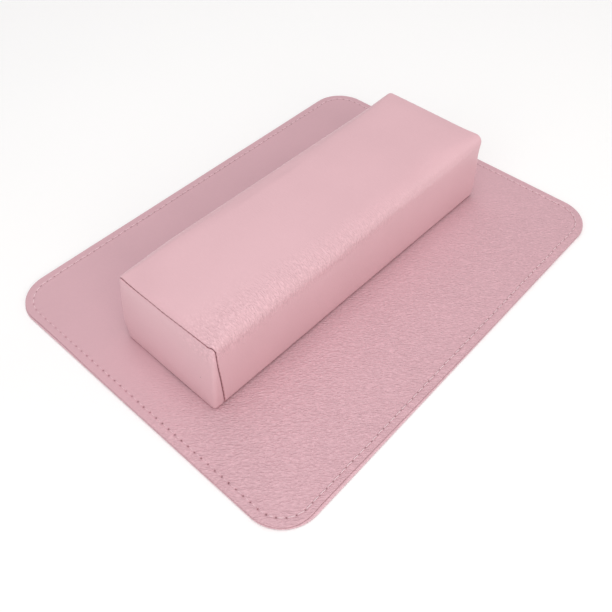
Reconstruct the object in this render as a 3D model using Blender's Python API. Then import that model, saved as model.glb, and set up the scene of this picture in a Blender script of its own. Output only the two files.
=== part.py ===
"""Manicure hand rest: a foam hand pillow in a sewn cover, lying on a stitched two-layer mat.

Metres, +Z up. X runs along the mat's long side and Y across it. The origin lies on the
table, under the middle of the mat.
"""

import math

import bmesh
import bpy
from mathutils import Vector

# Mat
MAT_LENGTH = 0.400
MAT_WIDTH = 0.300
MAT_CORNER_RADIUS = 0.030
MAT_SHEET_THICKNESS = 0.0014
MAT_EDGE_ROUNDING = 0.0004
TOP_SHEET_SETBACK = 0.0008      # the top sheet's edge lies this far inside the backing's
STITCH_INSET = 0.0068           # from the backing's edge to the stitch line
STITCH_DENT_WIDTH = 0.0020
STITCH_DENT_DEPTH = 0.0005

# Pillow, measured over its cover
PILLOW_LENGTH = 0.314           # at the base
PILLOW_WIDTH = 0.102
PILLOW_HEIGHT = 0.064           # at the ends of the top
NEAR_END_LEAN = 0.0075          # how far the top of the near end stands back from its base
FAR_END_LEAN = 0.001
FOLD_RADIUS_MIDDLE = 0.010      # the two long top edges are folds, softest at mid-length
FOLD_RADIUS_END = 0.0045
TOP_CROWN = 0.0015
SIDE_BULGE = 0.0012
END_BULGE = 0.0012
COVER_THICKNESS = 0.0008

# Where the pillow lies on the mat
PILLOW_SHIFT_X = -0.005
PILLOW_SHIFT_Y = 0.0005
PILLOW_TURN_DEGREES = -0.85

# Seams of the cover: the panels roll inwards at each seam and meet face to face inside
SEAM_ROLL_RADIUS = 0.0011
SEAM_ALLOWANCE = 0.004
SEAM_CORNER_TRIM = 0.002        # the allowances stop this far short of each other at a corner

THREAD_DIAMETER = 0.0004

# Between pieces that touch
GAP = 0.0003

# How finely curves are divided
MAT_CORNER_STEPS = 8
EDGE_ROUNDING_STEPS = 2
ROLL_STEPS = 4
FOLD_STEPS = 5
LENGTH_STEPS = 6
TOP_STEPS = 6
SIDE_LEVELS = (0.35, 0.62, 0.85)
END_RINGS = (0.72, 0.42, 0.15)
TIGHTEST_FOLD = 0.0002

# Worked out from the sizes above
MAT_TOP = 2 * MAT_SHEET_THICKNESS + GAP
PILLOW_FLOOR = MAT_TOP + GAP
THREAD_RADIUS = THREAD_DIAMETER / 2
UNDERSIDE_DENT_DEPTH = THREAD_DIAMETER + 1.5 * GAP
# A roll turns through 135 degrees, from the panel's face to the plane that halves the corner.
ROLL_TURN = math.radians(135)
ROLL_START = (1 + math.sqrt(2)) * SEAM_ROLL_RADIUS + GAP / math.sqrt(2)
ALLOWANCE_REACH = (
    ROLL_START
    - SEAM_ROLL_RADIUS * math.sin(ROLL_TURN)
    + (SEAM_ALLOWANCE + COVER_THICKNESS) / math.sqrt(2)
)
ALLOWANCE_CLEAR = ALLOWANCE_REACH + SEAM_CORNER_TRIM
FOAM_CLEAR = COVER_THICKNESS + GAP
# An allowance ends where its distances from both faces add up to this, less the gap.
FOAM_BEVEL = ROLL_START + SEAM_ROLL_RADIUS + (SEAM_ALLOWANCE + GAP) * math.sqrt(2)
END_LEAN = {-1: NEAR_END_LEAN, 1: FAR_END_LEAN}
NEAR = -1
FAR = 1
FRONT = -1
BACK = 1


# Scene, materials and meshes
def clear_scene():
    for old in list(bpy.data.objects):
        bpy.data.objects.remove(old)


def make_material(name, colour, roughness):
    material = bpy.data.materials.new(name)
    material.use_nodes = True
    shader = material.node_tree.nodes["Principled BSDF"]
    shader.inputs["Base Color"].default_value = (*colour, 1.0)
    shader.inputs["Roughness"].default_value = roughness
    shader.inputs["Metallic"].default_value = 0.0
    return material


def add_object(name, data, material, parent=None):
    thing = bpy.data.objects.new(name, data)
    thing.data.materials.append(material)
    thing.parent = parent
    bpy.context.scene.collection.objects.link(thing)
    return thing


def finish_mesh(name, bm):
    """Welds shared corners, turns every face outwards and shades the round parts smooth."""
    bmesh.ops.remove_doubles(bm, verts=bm.verts, dist=1e-6)
    bmesh.ops.recalc_face_normals(bm, faces=bm.faces)
    mesh = bpy.data.meshes.new(name)
    bm.to_mesh(mesh)
    bm.free()
    mesh.shade_smooth()
    mesh.set_sharp_from_angle(angle=math.radians(40))
    return mesh


def loft(name, loops):
    """A closed solid through a stack of closed loops, capped at both ends."""
    bm = bmesh.new()
    rings = [[bm.verts.new(point) for point in loop] for loop in loops]
    for lower, upper in zip(rings, rings[1:]):
        for i in range(len(lower)):
            following = (i + 1) % len(lower)
            bm.faces.new((lower[i], lower[following], upper[following], upper[i]))
    bm.faces.new(reversed(rings[0]))
    bm.faces.new(rings[-1])
    return finish_mesh(name, bm)


def shell(name, outer, inner, kept, closed=False, capped=False):
    """A sheet between two equal grids of points: its faces are the cells that kept() names,
    and a rim joins both skins wherever such a cell has no neighbour. A closed grid joins its
    last column to its first, and a capped one has a face inside its last row."""
    bm = bmesh.new()
    rows = len(outer)
    columns = len(outer[0])
    skins = [[[bm.verts.new(p) for p in row] for row in grid] for grid in (outer, inner)]
    wide = columns if closed else columns - 1

    def is_kept(i, j):
        if closed:
            j %= columns
        return 0 <= i < rows - 1 and 0 <= j < wide and kept(i, j)

    def corners(skin, i, j):
        following = (j + 1) % columns
        return skin[i][j], skin[i + 1][j], skin[i + 1][following], skin[i][following]

    def rim(a, b):
        (ia, ja), (ib, jb) = a, b
        ends = (skins[0][ia][ja], skins[0][ib][jb], skins[1][ib][jb], skins[1][ia][ja])
        if (ends[0].co - ends[1].co).length > 1e-6:
            bm.faces.new(ends)

    for i in range(rows - 1):
        for j in range(wide):
            if not is_kept(i, j):
                continue
            following = (j + 1) % columns
            sides = (
                ((i - 1, j), (i, j), (i, following)),
                ((i + 1, j), (i + 1, following), (i + 1, j)),
                ((i, j - 1), (i + 1, j), (i, j)),
                ((i, j + 1), (i, following), (i + 1, following)),
            )
            if (skins[0][i][j].co - skins[0][i][following].co).length > 1e-6:
                bm.faces.new(corners(skins[0], i, j))
                bm.faces.new(reversed(corners(skins[1], i, j)))
            for neighbour, start, end in sides:
                inside_cap = capped and neighbour[0] == rows - 1
                if not inside_cap and not is_kept(*neighbour):
                    rim(start, end)
    if capped:
        for skin in skins:
            bm.faces.new(without_twins(skin[-1]))
    return finish_mesh(name, bm)


def without_twins(loop):
    """The loop's points without those that repeat the one before, as at a panel's corners."""
    return [v for k, v in enumerate(loop) if (v.co - loop[k - 1].co).length > 1e-6]


# Mat
def mat_outline(inset, z):
    """The mat's rounded rectangle, drawn in by inset, at height z."""
    radius = max(MAT_CORNER_RADIUS - inset, MAT_EDGE_ROUNDING)
    half_length = MAT_LENGTH / 2 - inset - radius
    half_width = MAT_WIDTH / 2 - inset - radius
    points = []
    for corner, (side_x, side_y) in enumerate(((1, 1), (-1, 1), (-1, -1), (1, -1))):
        for step in range(MAT_CORNER_STEPS + 1):
            angle = math.radians(90) * (corner + step / MAT_CORNER_STEPS)
            x = side_x * half_length + radius * math.cos(angle)
            y = side_y * half_width + radius * math.sin(angle)
            points.append(Vector((x, y, z)))
    return points


def mat_edge(setback, bottom):
    """The loops of a sheet's rounded outer edge, from its underside to its top."""
    loops = []
    top = bottom + MAT_SHEET_THICKNESS
    for level, start in ((bottom + MAT_EDGE_ROUNDING, -90), (top - MAT_EDGE_ROUNDING, 0)):
        for step in range(EDGE_ROUNDING_STEPS + 1):
            angle = math.radians(start + 90 * step / EDGE_ROUNDING_STEPS)
            inset = setback + MAT_EDGE_ROUNDING * (1 - math.cos(angle))
            loops.append(mat_outline(inset, level + MAT_EDGE_ROUNDING * math.sin(angle)))
    return loops


def stitch_dent(surface, bottom, width):
    """The loops of the dent that the stitches pull in, from its outer side to its inner side."""
    lips = ((-width / 2, surface), (-width / 4, bottom), (width / 4, bottom), (width / 2, surface))
    return [mat_outline(STITCH_INSET + across, z) for across, z in lips]


def make_mat_sheets():
    top_bottom = MAT_SHEET_THICKNESS + GAP
    top_material = make_material("mat_top_leather", (0.66, 0.40, 0.45), 0.55)
    backing_material = make_material("mat_backing_leather", (0.64, 0.38, 0.43), 0.6)

    loops = mat_edge(TOP_SHEET_SETBACK, top_bottom)
    loops += stitch_dent(MAT_TOP, MAT_TOP - STITCH_DENT_DEPTH, STITCH_DENT_WIDTH)
    add_object("mat_top_sheet", loft("mat_top_sheet", loops), top_material)

    dent = stitch_dent(0.0, UNDERSIDE_DENT_DEPTH, STITCH_DENT_WIDTH)
    loops = dent[::-1] + mat_edge(0.0, 0.0)
    add_object("mat_backing_sheet", loft("mat_backing_sheet", loops), backing_material)


def make_thread(name, points, material, parent=None, closed=False):
    """A round thread along points."""
    curve = bpy.data.curves.new(name, "CURVE")
    curve.dimensions = "3D"
    curve.bevel_depth = THREAD_RADIUS
    curve.bevel_resolution = 1
    curve.use_fill_caps = not closed
    spline = curve.splines.new("POLY")
    spline.points.add(len(points) - 1)
    for target, point in zip(spline.points, points):
        target.co = (*point, 1.0)
    spline.use_cyclic_u = closed
    return add_object(name, curve, material, parent)


def make_mat_threads():
    material = make_material("mat_thread", (0.72, 0.47, 0.52), 0.5)
    over = MAT_TOP - STITCH_DENT_DEPTH + GAP + THREAD_RADIUS
    under = UNDERSIDE_DENT_DEPTH - GAP - THREAD_RADIUS
    make_thread("mat_needle_thread", mat_outline(STITCH_INSET, over), material, closed=True)
    make_thread("mat_bobbin_thread", mat_outline(STITCH_INSET, under), material, closed=True)


# Form of the pillow
def nearness_to_middle(x):
    """1 at the pillow's mid-length, 0 at its ends."""
    return max(0.0, 1.0 - (2 * abs(x) / PILLOW_LENGTH) ** 2)


def fold_radius(x, depth):
    """The radius of the long top edges at x, on the surface depth below the cover's face."""
    soft = (FOLD_RADIUS_MIDDLE - FOLD_RADIUS_END) * nearness_to_middle(x)
    return max(FOLD_RADIUS_END + soft - depth, TIGHTEST_FOLD)


def side_column(side, height):
    """A column of the cover up a long side: y and z at x, depth below the cover's face."""

    def place(x, depth):
        share = min(height / (PILLOW_HEIGHT - fold_radius(x, 0.0)), 1.0)
        bulge = SIDE_BULGE * 4 * share * (1 - share) * nearness_to_middle(x)
        return side * (PILLOW_WIDTH / 2 + bulge - depth), height

    return place


def fold_column(side, angle):
    """A column of the cover along a long top edge, at an angle round the fold."""

    def place(x, depth):
        radius = fold_radius(x, depth)
        y = PILLOW_WIDTH / 2 - depth - radius * (1 - math.cos(angle))
        z = PILLOW_HEIGHT - depth - radius * (1 - math.sin(angle))
        return side * y, z

    return place


def top_column(share):
    """A column of the cover along the top, at a share of its half width."""

    def place(x, depth):
        crown = TOP_CROWN * (1 - share**2) * nearness_to_middle(x)
        half = PILLOW_WIDTH / 2 - depth - fold_radius(x, depth)
        return share * half, PILLOW_HEIGHT - depth + crown

    return place


def at_end(end, column, depth, advance):
    """The point of a column that lies advance inside the end's leaning plane."""
    z = column(end * PILLOW_LENGTH / 2, depth)[1]
    x = end * (PILLOW_LENGTH / 2 - advance - END_LEAN[end] * z / PILLOW_HEIGHT)
    y, z = column(x, depth)
    return Vector((x, y, z))


def fixed_column(y, z):
    """A column that keeps its y and z whatever the depth."""

    def place(x, depth):
        return y, z

    return place


def along(share, column, depth):
    """The point of a column at a share of the way between the allowances' ends."""
    start = at_end(NEAR, column, depth, ALLOWANCE_CLEAR)
    stop = at_end(FAR, column, depth, ALLOWANCE_CLEAR)
    x = start.x + share * (stop.x - start.x)
    y, z = column(x, depth)
    return Vector((x, y, z))


def seam_roll(skin):
    """How a panel turns in at a seam, for the surface skin below its face: pairs of the distance
    from the neighbour's face and the depth below its own, from the face to the allowance's end."""
    radius = SEAM_ROLL_RADIUS - skin
    pairs = []
    for step in range(ROLL_STEPS + 1):
        turn = ROLL_TURN * step / ROLL_STEPS
        away = ROLL_START - radius * math.sin(turn)
        depth = SEAM_ROLL_RADIUS - radius * math.cos(turn)
        pairs.append((away, depth))
    reach = SEAM_ALLOWANCE / math.sqrt(2)
    pairs.append((away + reach, depth + reach))
    return pairs


def rising_columns(side):
    """The columns of a long side above its seam roll, and of its fold, going up."""
    highest = PILLOW_HEIGHT - FOLD_RADIUS_MIDDLE
    heights = [ALLOWANCE_CLEAR + s * (highest - ALLOWANCE_CLEAR) for s in SIDE_LEVELS]
    columns = [side_column(side, z) for z in (ROLL_START, ALLOWANCE_CLEAR, *heights)]
    for step in range(FOLD_STEPS + 1):
        columns.append(fold_column(side, math.radians(90) * step / FOLD_STEPS))
    return columns


def arch_columns():
    """All the columns of the cover's arch: up the front, over the top and down the back."""
    shares = [-1 + 2 * step / TOP_STEPS for step in range(1, TOP_STEPS)]
    top = [top_column(share) for share in shares]
    return rising_columns(FRONT) + top + rising_columns(BACK)[::-1]


# Panels of the pillow's cover
LAST = ROLL_STEPS + 1           # the index of an allowance's far end in a seam roll


def wrap_grid(skin):
    """The panel that makes the top and both long sides, with a seam roll at all four edges."""
    roll = seam_roll(skin)
    front = [(side_column(FRONT, away), depth) for away, depth in roll[:0:-1]]
    back = [(side_column(BACK, away), depth) for away, depth in roll[1:]]
    columns = front + [(column, skin) for column in arch_columns()] + back

    rows = []
    for away, depth in roll[::-1]:
        rows.append([at_end(NEAR, c, max(d, depth), away) for c, d in columns])
    for step in range(LENGTH_STEPS + 1):
        rows.append([along(step / LENGTH_STEPS, c, d) for c, d in columns])
    for away, depth in roll:
        rows.append([at_end(FAR, c, max(d, depth), away) for c, d in columns])
    return rows


def steps_into_seam(index, count):
    """How deep a grid's cell lies in the seam roll at either edge: from 0 at the first cell
    clear of the allowances, to 1 beside the roll, 2 in the roll and 3 in the allowance."""
    from_edge = min(index, count - 2 - index)
    if from_edge == 0:
        return 3
    if from_edge < LAST:
        return 2
    return 1 if from_edge == LAST else 0


def make_wrap(parent):
    outer = wrap_grid(0.0)
    inner = wrap_grid(COVER_THICKNESS)

    def kept(i, j):
        across = steps_into_seam(i, len(outer))
        along_seam = steps_into_seam(j, len(outer[0]))
        return across + along_seam <= 3

    material = make_material("wrap_leather", (0.76, 0.50, 0.55), 0.5)
    add_object("pillow_wrap", shell("pillow_wrap", outer, inner, kept), material, parent)


def end_panel_grid(end, skin):
    """The end panel: rows from the allowance's far end, through the roll, to rings that draw in
    towards the middle. Its loop is the arch, then the straight bottom edge."""
    rows = []
    for away, depth in seam_roll(skin)[::-1]:
        row = [at_end(end, column, away, depth) for column in arch_columns()]
        row += [at_end(end, column, ROLL_START, depth) for column in edge_across(away)]
        rows.append(row)
    middle = PILLOW_HEIGHT / 2
    for share in END_RINGS:
        row = []
        for point in rows[LAST]:
            z = middle + share * (point.z - middle)
            lean = END_LEAN[end] * z / PILLOW_HEIGHT
            bulge = END_BULGE * (1 - share**2)
            x = end * (PILLOW_LENGTH / 2 - skin - lean + bulge)
            row.append(Vector((x, share * point.y, z)))
        rows.append(row)
    return rows


def edge_across(height):
    """The columns of a straight edge across the pillow, at a height, from its back to its front."""
    clear = PILLOW_WIDTH / 2 - ALLOWANCE_CLEAR
    between = [fixed_column(y, height) for y in (clear, 0.0, -clear)]
    return [side_column(BACK, height), *between, side_column(FRONT, height)]


def make_end_panel(name, end, parent):
    outer = end_panel_grid(end, 0.0)
    inner = end_panel_grid(end, COVER_THICKNESS)
    arch_cells = len(arch_columns()) - 1
    loop_cells = len(outer[0])

    def kept(i, j):
        if i >= LAST:
            return True
        at_twin = j in (arch_cells, loop_cells - 1)
        beside_corner = j in (0, arch_cells - 1, arch_cells + 1, loop_cells - 2)
        return not at_twin and not (i == 0 and beside_corner)

    mesh = shell(name, outer, inner, kept, closed=True, capped=True)
    material = make_material(name + "_leather", (0.68, 0.42, 0.47), 0.5)
    add_object(name, mesh, material, parent)


def base_grid(skin):
    """The bottom panel, with a seam roll at all four edges: front, far end, back, near end."""
    rows = []
    for away, depth in seam_roll(skin)[::-1]:
        edges = {}
        for side in (FRONT, BACK):
            column = side_column(side, depth)
            edge = [at_end(NEAR, column, away, ROLL_START)]
            edge += [along(step / LENGTH_STEPS, column, away) for step in range(LENGTH_STEPS + 1)]
            edge.append(at_end(FAR, column, away, ROLL_START))
            edges[side] = edge
        for end in (NEAR, FAR):
            across = edge_across(depth)
            edges["end", end] = [at_end(end, column, ROLL_START, away) for column in across]
        rows.append(edges[FRONT] + edges["end", FAR][::-1] + edges[BACK][::-1] + edges["end", NEAR])
    return rows


def make_base(parent):
    outer = base_grid(0.0)
    inner = base_grid(COVER_THICKNESS)
    long_cells = LENGTH_STEPS + 2
    end_cells = len(edge_across(0.0)) - 1
    half_loop = long_cells + end_cells + 2

    def kept(i, j):
        place = j % half_loop
        at_twin = place in (long_cells, half_loop - 1)
        beside_corner = place in (0, long_cells - 1, long_cells + 1, half_loop - 2)
        return not at_twin and not (i == 0 and beside_corner)

    mesh = shell("pillow_base", outer, inner, kept, closed=True, capped=True)
    material = make_material("base_leather", (0.64, 0.38, 0.43), 0.6)
    add_object("pillow_base", mesh, material, parent)


# Inside and seams of the pillow
def foam_loop(depth, place):
    """The foam's section, depth below the cover's face: its bottom edges are bevelled to leave
    room for the seam allowances."""
    bevel = FOAM_BEVEL - 2 * FOAM_CLEAR
    half = PILLOW_WIDTH / 2 - depth
    points = []
    for side in (FRONT, BACK):
        rising = [place(lambda x, d: (side * (half - bevel), depth), depth)]
        lowest = depth + bevel
        highest = PILLOW_HEIGHT - max(FOLD_RADIUS_MIDDLE, depth + TIGHTEST_FOLD)
        for share in (0.0, *SIDE_LEVELS):
            rising.append(place(side_column(side, lowest + share * (highest - lowest)), depth))
        for step in range(FOLD_STEPS + 1):
            angle = math.radians(90) * step / FOLD_STEPS
            rising.append(place(fold_column(side, angle), depth))
        points += rising if side == FRONT else rising[::-1]
        if side == FRONT:
            shares = [-1 + 2 * step / TOP_STEPS for step in range(1, TOP_STEPS)]
            points += [place(top_column(share), depth) for share in shares]
    return points


def make_foam(parent):
    deep = FOAM_BEVEL - FOAM_CLEAR
    loops = [foam_loop(deep, lambda c, d: at_end(NEAR, c, d, FOAM_CLEAR))]
    loops.append(foam_loop(FOAM_CLEAR, lambda c, d: at_end(NEAR, c, d, deep)))
    for step in range(1, LENGTH_STEPS):
        share = step / LENGTH_STEPS
        loops.append(foam_loop(FOAM_CLEAR, lambda c, d: along(share, c, d)))
    loops.append(foam_loop(FOAM_CLEAR, lambda c, d: at_end(FAR, c, d, deep)))
    loops.append(foam_loop(deep, lambda c, d: at_end(FAR, c, d, FOAM_CLEAR)))
    material = make_material("foam", (0.80, 0.78, 0.70), 0.95)
    add_object("foam_core", loft("foam_core", loops), material, parent)


def thread_seat():
    """How far inside both panels' faces a thread lies, in the valley between two rolls."""
    radius = SEAM_ROLL_RADIUS + GAP + THREAD_RADIUS
    total = ROLL_START + SEAM_ROLL_RADIUS
    product = ROLL_START**2 + SEAM_ROLL_RADIUS**2 - radius**2
    return (total - math.sqrt(total**2 - 2 * product)) / 2


def make_seam_threads(parent):
    material = make_material("seam_thread", (0.35, 0.17, 0.20), 0.6)
    seat = thread_seat()
    for name, end in (("near_seam_thread", NEAR), ("far_seam_thread", FAR)):
        points = [at_end(end, column, seat, seat) for column in arch_columns()]
        make_thread(name, points, material, parent)
    points = []
    for end, side in ((FAR, BACK), (NEAR, BACK), (NEAR, FRONT), (FAR, FRONT)):
        points.append(at_end(end, side_column(side, seat), seat, seat))
    make_thread("base_seam_thread", rounded_corners(points, seat), material, parent, closed=True)


def rounded_corners(points, radius):
    """The closed polygon with each corner replaced by three points on a round of that radius."""
    path = []
    for k, corner in enumerate(points):
        before = (points[k - 1] - corner).normalized() * radius
        after = (points[(k + 1) % len(points)] - corner).normalized() * radius
        middle = (before + after) * (1 - 1 / math.sqrt(2))
        path += [corner + before, corner + middle, corner + after]
    return path


def make_pillow():
    pillow = bpy.data.objects.new("pillow_place", None)
    pillow.location = (PILLOW_SHIFT_X, PILLOW_SHIFT_Y, PILLOW_FLOOR)
    pillow.rotation_euler = (0.0, 0.0, math.radians(PILLOW_TURN_DEGREES))
    bpy.context.scene.collection.objects.link(pillow)
    make_wrap(pillow)
    make_end_panel("pillow_near_end", NEAR, pillow)
    make_end_panel("pillow_far_end", FAR, pillow)
    make_base(pillow)
    make_foam(pillow)
    make_seam_threads(pillow)


clear_scene()
make_mat_sheets()
make_mat_threads()
make_pillow()
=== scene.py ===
"""Manicure hand rest: a padded hand pillow lying on a stitched two-layer mat.

The finished look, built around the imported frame. Metres, +Z up, in the frame's own axes.
"""

import math

import bpy
import numpy as np
from mathutils import Matrix, Vector, geometry, noise


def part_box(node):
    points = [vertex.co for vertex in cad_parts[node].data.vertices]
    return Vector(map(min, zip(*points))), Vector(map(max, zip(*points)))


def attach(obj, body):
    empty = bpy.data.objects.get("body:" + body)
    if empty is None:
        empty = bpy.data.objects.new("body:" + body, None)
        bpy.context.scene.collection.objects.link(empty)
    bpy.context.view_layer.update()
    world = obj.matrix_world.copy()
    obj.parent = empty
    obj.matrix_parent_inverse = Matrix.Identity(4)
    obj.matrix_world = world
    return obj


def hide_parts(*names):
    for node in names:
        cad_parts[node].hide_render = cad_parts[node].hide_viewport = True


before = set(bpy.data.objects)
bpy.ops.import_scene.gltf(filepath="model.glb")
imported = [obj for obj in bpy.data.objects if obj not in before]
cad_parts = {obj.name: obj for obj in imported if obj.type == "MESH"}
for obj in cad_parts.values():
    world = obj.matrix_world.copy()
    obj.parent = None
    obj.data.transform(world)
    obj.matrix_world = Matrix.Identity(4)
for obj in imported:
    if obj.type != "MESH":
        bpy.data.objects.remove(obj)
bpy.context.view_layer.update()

MM = 0.001
RANDOM = np.random.default_rng(7)

# Camera, where the photograph was taken from
CAMERA_PLACE = (-0.3133, -0.2691, 0.4227)
CAMERA_RIGHT = (0.6712, -0.7413, 0.0015)
CAMERA_UP = (0.5638, 0.5119, 0.6481)
CAMERA_LENS = 41.21
CAMERA_SENSOR = 36.0

# Mat
MAT_LOW, MAT_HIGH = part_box("mat_backing_sheet")
TOP_LOW, TOP_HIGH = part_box("mat_top_sheet")
MAT_LENGTH = MAT_HIGH.x - MAT_LOW.x
MAT_WIDTH = MAT_HIGH.y - MAT_LOW.y
CORNER_RADIUS = 30 * MM
SHEET_ROUNDING = 0.4 * MM       # of a sheet's cut edge
STITCH_INSET = 6.8 * MM
STITCH_PITCH = 6.6 * MM
STEPS_PER_STITCH = 10
THREAD_RADIUS = 0.36 * MM
STITCH_SLANT = 0.10 * MM        # of each end of a stitch, across the stitch line
STITCH_DIP = 0.85 * MM          # how deep a stitch's ends go down into their holes
STITCH_RISE = 0.90 * MM         # from there to the stitch's middle
NEEDLE_LEVEL = TOP_HIGH.z + 0.12 * MM
BOBBIN_LEVEL = MAT_LOW.z + 0.42 * MM
SEAT_DEPTH = 0.14 * MM          # of the groove that the stitches lie in
HOLE_DEPTH = 0.95 * MM
SWELL_HEIGHT = 0.16 * MM        # of the sheet beside the stitches
MAT_WAVE = 0.3 * MM             # how far a sheet rises in its slow waves
UPPER_INSET = 0.35 * MM         # of the upper sheet's cut edge
LOWER_INSET = 0.05 * MM
STRIP_WIDTH = 1.75 * MM         # of the lower sheet's edge where it shows most
STRIP_START = 40 * MM           # along the front, where the strip begins
STRIP_GROWTH = 175 * MM         # from there to its full width
STRIP_STOP = -186 * MM          # along the front, where it has faded out
STRIP_LEFT = 97 * MM            # along the near end, the middle of the strip there
STRIP_LEFT_SHARE = 0.45         # of the strip's full width, there
EDGE_LIFT = 0.25 * MM           # of the upper sheet's edge where the strip shows

# Pillow, in its own axes: X along it, Z up from its underside
PILLOW_PLACE = (-5 * MM, 0.5 * MM, TOP_HIGH.z + 0.3 * MM)
PILLOW_TURN = math.radians(-0.85)
LENGTH = 314 * MM
WIDTH = 102 * MM
HEIGHT = 64 * MM
NEAR = -1
FAR = 1
LEAN = {NEAR: 7.5 * MM, FAR: 1 * MM}
FOLD_RADIUS_END = 4.5 * MM
FAR_CORNER_RADIUS = 7.5 * MM    # of the front fold at the far end
FRONT_FOLD_RADIUS = 9 * MM
FAR_FOLD_SOFTNESS = 4 * MM      # added to the front fold's radius at FAR_FOLD_PLACE
FAR_FOLD_PLACE = 95 * MM
BACK_FOLD_RADIUS = 7 * MM
FOLD_REACH = 48 * MM            # from an end to where a fold has its full radius
FRONT_LEAN = 1.1 * MM           # how far the front's top edge stands in from its foot
FAR_LEAN = 1.6 * MM             # added to that at FAR_LEAN_PLACE
FAR_LEAN_PLACE = 92 * MM
FAR_TOP_BULGE = 1.8 * MM        # how far the far end's front top corner stands out
FAR_PINCH = 1.3 * MM            # how far the far end is drawn in below that
FAR_PINCH_HEIGHT = 46 * MM
TOP_CROWN = 1.0 * MM            # before the cover swells
FOOT_TUCK = 0.2 * MM            # how far the long sides' feet are drawn in at mid-length
COVER_THICKNESS = 0.8 * MM
FOOT_ROUNDING = 3.6 * MM        # of the box round its underside
END_ROUNDING = 3.8 * MM         # of the box along the tops of its ends
SIDE_ROUNDING = 2.8 * MM        # of the box along its upright edges
BACK_CORNER_ROUNDING = 9 * MM   # seen from above, of the near end's back corner at its foot
BACK_CORNER_RISE = 26 * MM      # the height where that rounding has ended
BACK_CORNER_DROOP = 5.5 * MM    # how far that corner's top has sunk
SIDE_RISE = HEIGHT - 8 * MM     # of a long side, from its foot up to its fold
LIP_RADIUS = 1.2 * MM           # of a panel where it turns into a seam
SLIT_HALF = 0.07 * MM           # half the gap between two panels at their seam
ALLOWANCE = 3.2 * MM            # of each panel inside its seam
FOOT_SHADE_REACH = 1.5 * MM          # how far the painted contact shadow at the cover's foot reaches
SEAM_PITCH = 4.5 * MM
SEAM_THREAD_RADIUS = 0.2 * MM
SEAM_SHIFT_REACH = 15 * MM      # how far from a seam its shift has faded out
SWELL_PRESSURE = 4.0
CLOTH_FRAMES = 20
WRAP_SWELL = 1.5 * MM           # the most that the cloth simulation may blow a panel out
END_SWELL = 1.3 * MM
FOAM_DEPTH = 2.9 * MM           # of the foam's face under the cover's
FOAM_GAPS = {NEAR: 13 * MM, FAR: 9 * MM}
SECTION = np.linspace(-3, 5, 1601)

# How far each end seam lies from the middle of its end's rounding, in mm, along the pillow, at
# places c round the section: -3 is the front's foot, -2 and -1 the front fold, 1 and 2 the back
# fold, 3 the back's foot, and 5 the front's foot again. SECTION has the fine steps of c.
SEAM_LINE = {
    NEAR: (
        (-3.0, 9.5), (-2.85, 8.9), (-2.5, 6.0), (-2.2, 3.2), (-2.0, 1.6), (-1.6, 0.2), (-1.0, -2.2),
        (0.0, -4.1), (0.5, -2.8), (1.0, -0.6), (1.5, -0.2), (2.0, 1.0), (2.4, 4.0), (3.4, 4.0),
        (4.0, 0.0), (4.5, 0.0), (5.0, 9.5),
    ),
    FAR: (
        (-3.0, -0.5), (-2.7, -3.6), (-1.0, -4.0), (1.0, -4.0), (2.7, -3.6), (3.0, -0.5), (3.3, 0.0),
        (4.7, 0.0), (5.0, -0.5),
    ),
}


# Meshes
def add_object(name, data):
    made = bpy.data.objects.new(name, data)
    bpy.context.scene.collection.objects.link(made)
    return made


class Builder:
    """Collects the points and faces of one mesh, with the painted shade at each point."""

    def __init__(self):
        self.points = []
        self.painted_shades = []
        self.faces = []
        self.count = 0

    def add(self, points, painted_shade=0.0):
        """Takes an array of points, of any shape, and returns their numbers in that shape."""
        shape = np.shape(points)[:-1]
        flat = np.asarray(points, float).reshape(-1, 3)
        numbers = np.arange(self.count, self.count + len(flat))
        self.points.append(flat)
        self.painted_shades.append(np.broadcast_to(painted_shade, shape).reshape(-1))
        self.count += len(flat)
        return numbers.reshape(shape)

    def sheet(self, numbers, closed=False, kept=None):
        """Joins a grid of point numbers with quads. A closed grid's rows are loops."""
        if closed:
            numbers = np.concatenate([numbers, numbers[:, :1]], axis=1)
        quads = np.stack(
            [numbers[:-1, :-1], numbers[1:, :-1], numbers[1:, 1:], numbers[:-1, 1:]], axis=-1
        )
        if kept is not None:
            quads = quads[kept]
        self.faces += quads.reshape(-1, 4).tolist()

    def cap(self, numbers):
        self.faces.append([int(n) for n in numbers])

    def object(self, name, material):
        """Makes the object, without the points that belong to no face."""
        used = np.zeros(self.count, bool)
        used[[n for face in self.faces for n in face]] = True
        renumber = np.cumsum(used) - 1
        points = np.concatenate(self.points)[used]
        mesh = bpy.data.meshes.new(name)
        mesh.from_pydata(points.tolist(), [], [[int(renumber[n]) for n in face] for face in self.faces])
        painted_shade = np.concatenate(self.painted_shades)[used].astype(np.float32)
        mesh.attributes.new("painted_shade", "FLOAT", "POINT").data.foreach_set("value", painted_shade)
        mesh.shade_smooth()
        mesh.materials.append(material)
        return add_object(name, mesh)

    def piece(self, name, material, node, slot):
        """Makes the object as a piece of the part, in place of its CAD node."""
        made = self.object(name, material)
        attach(made, "root")
        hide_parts(node)
        return made


def noise_at(points, size, seed):
    """Smooth noise, from about -1 to 1, with features about size across."""
    offset = Vector((seed * 17.3, seed * 5.1, seed * 9.7))
    flat = np.asarray(points, float).reshape(-1, 3) / size
    values = [noise.noise(Vector(p) + offset) for p in flat]
    return np.array(values).reshape(np.shape(points)[:-1])


def raised(flat, height):
    """The flat places (x, y) as points, with a height for each or one for all of them."""
    heights = np.broadcast_to(height, flat.shape[:-1])
    return np.concatenate([flat, heights[..., None]], axis=-1)


def hump(distance, width):
    return np.exp(-((distance / width) ** 2))


def ease(share):
    """A smooth step from 0 to 1 as share goes from 0 to 1."""
    share = np.clip(share, 0, 1)
    return share * share * (3 - 2 * share)


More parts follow.
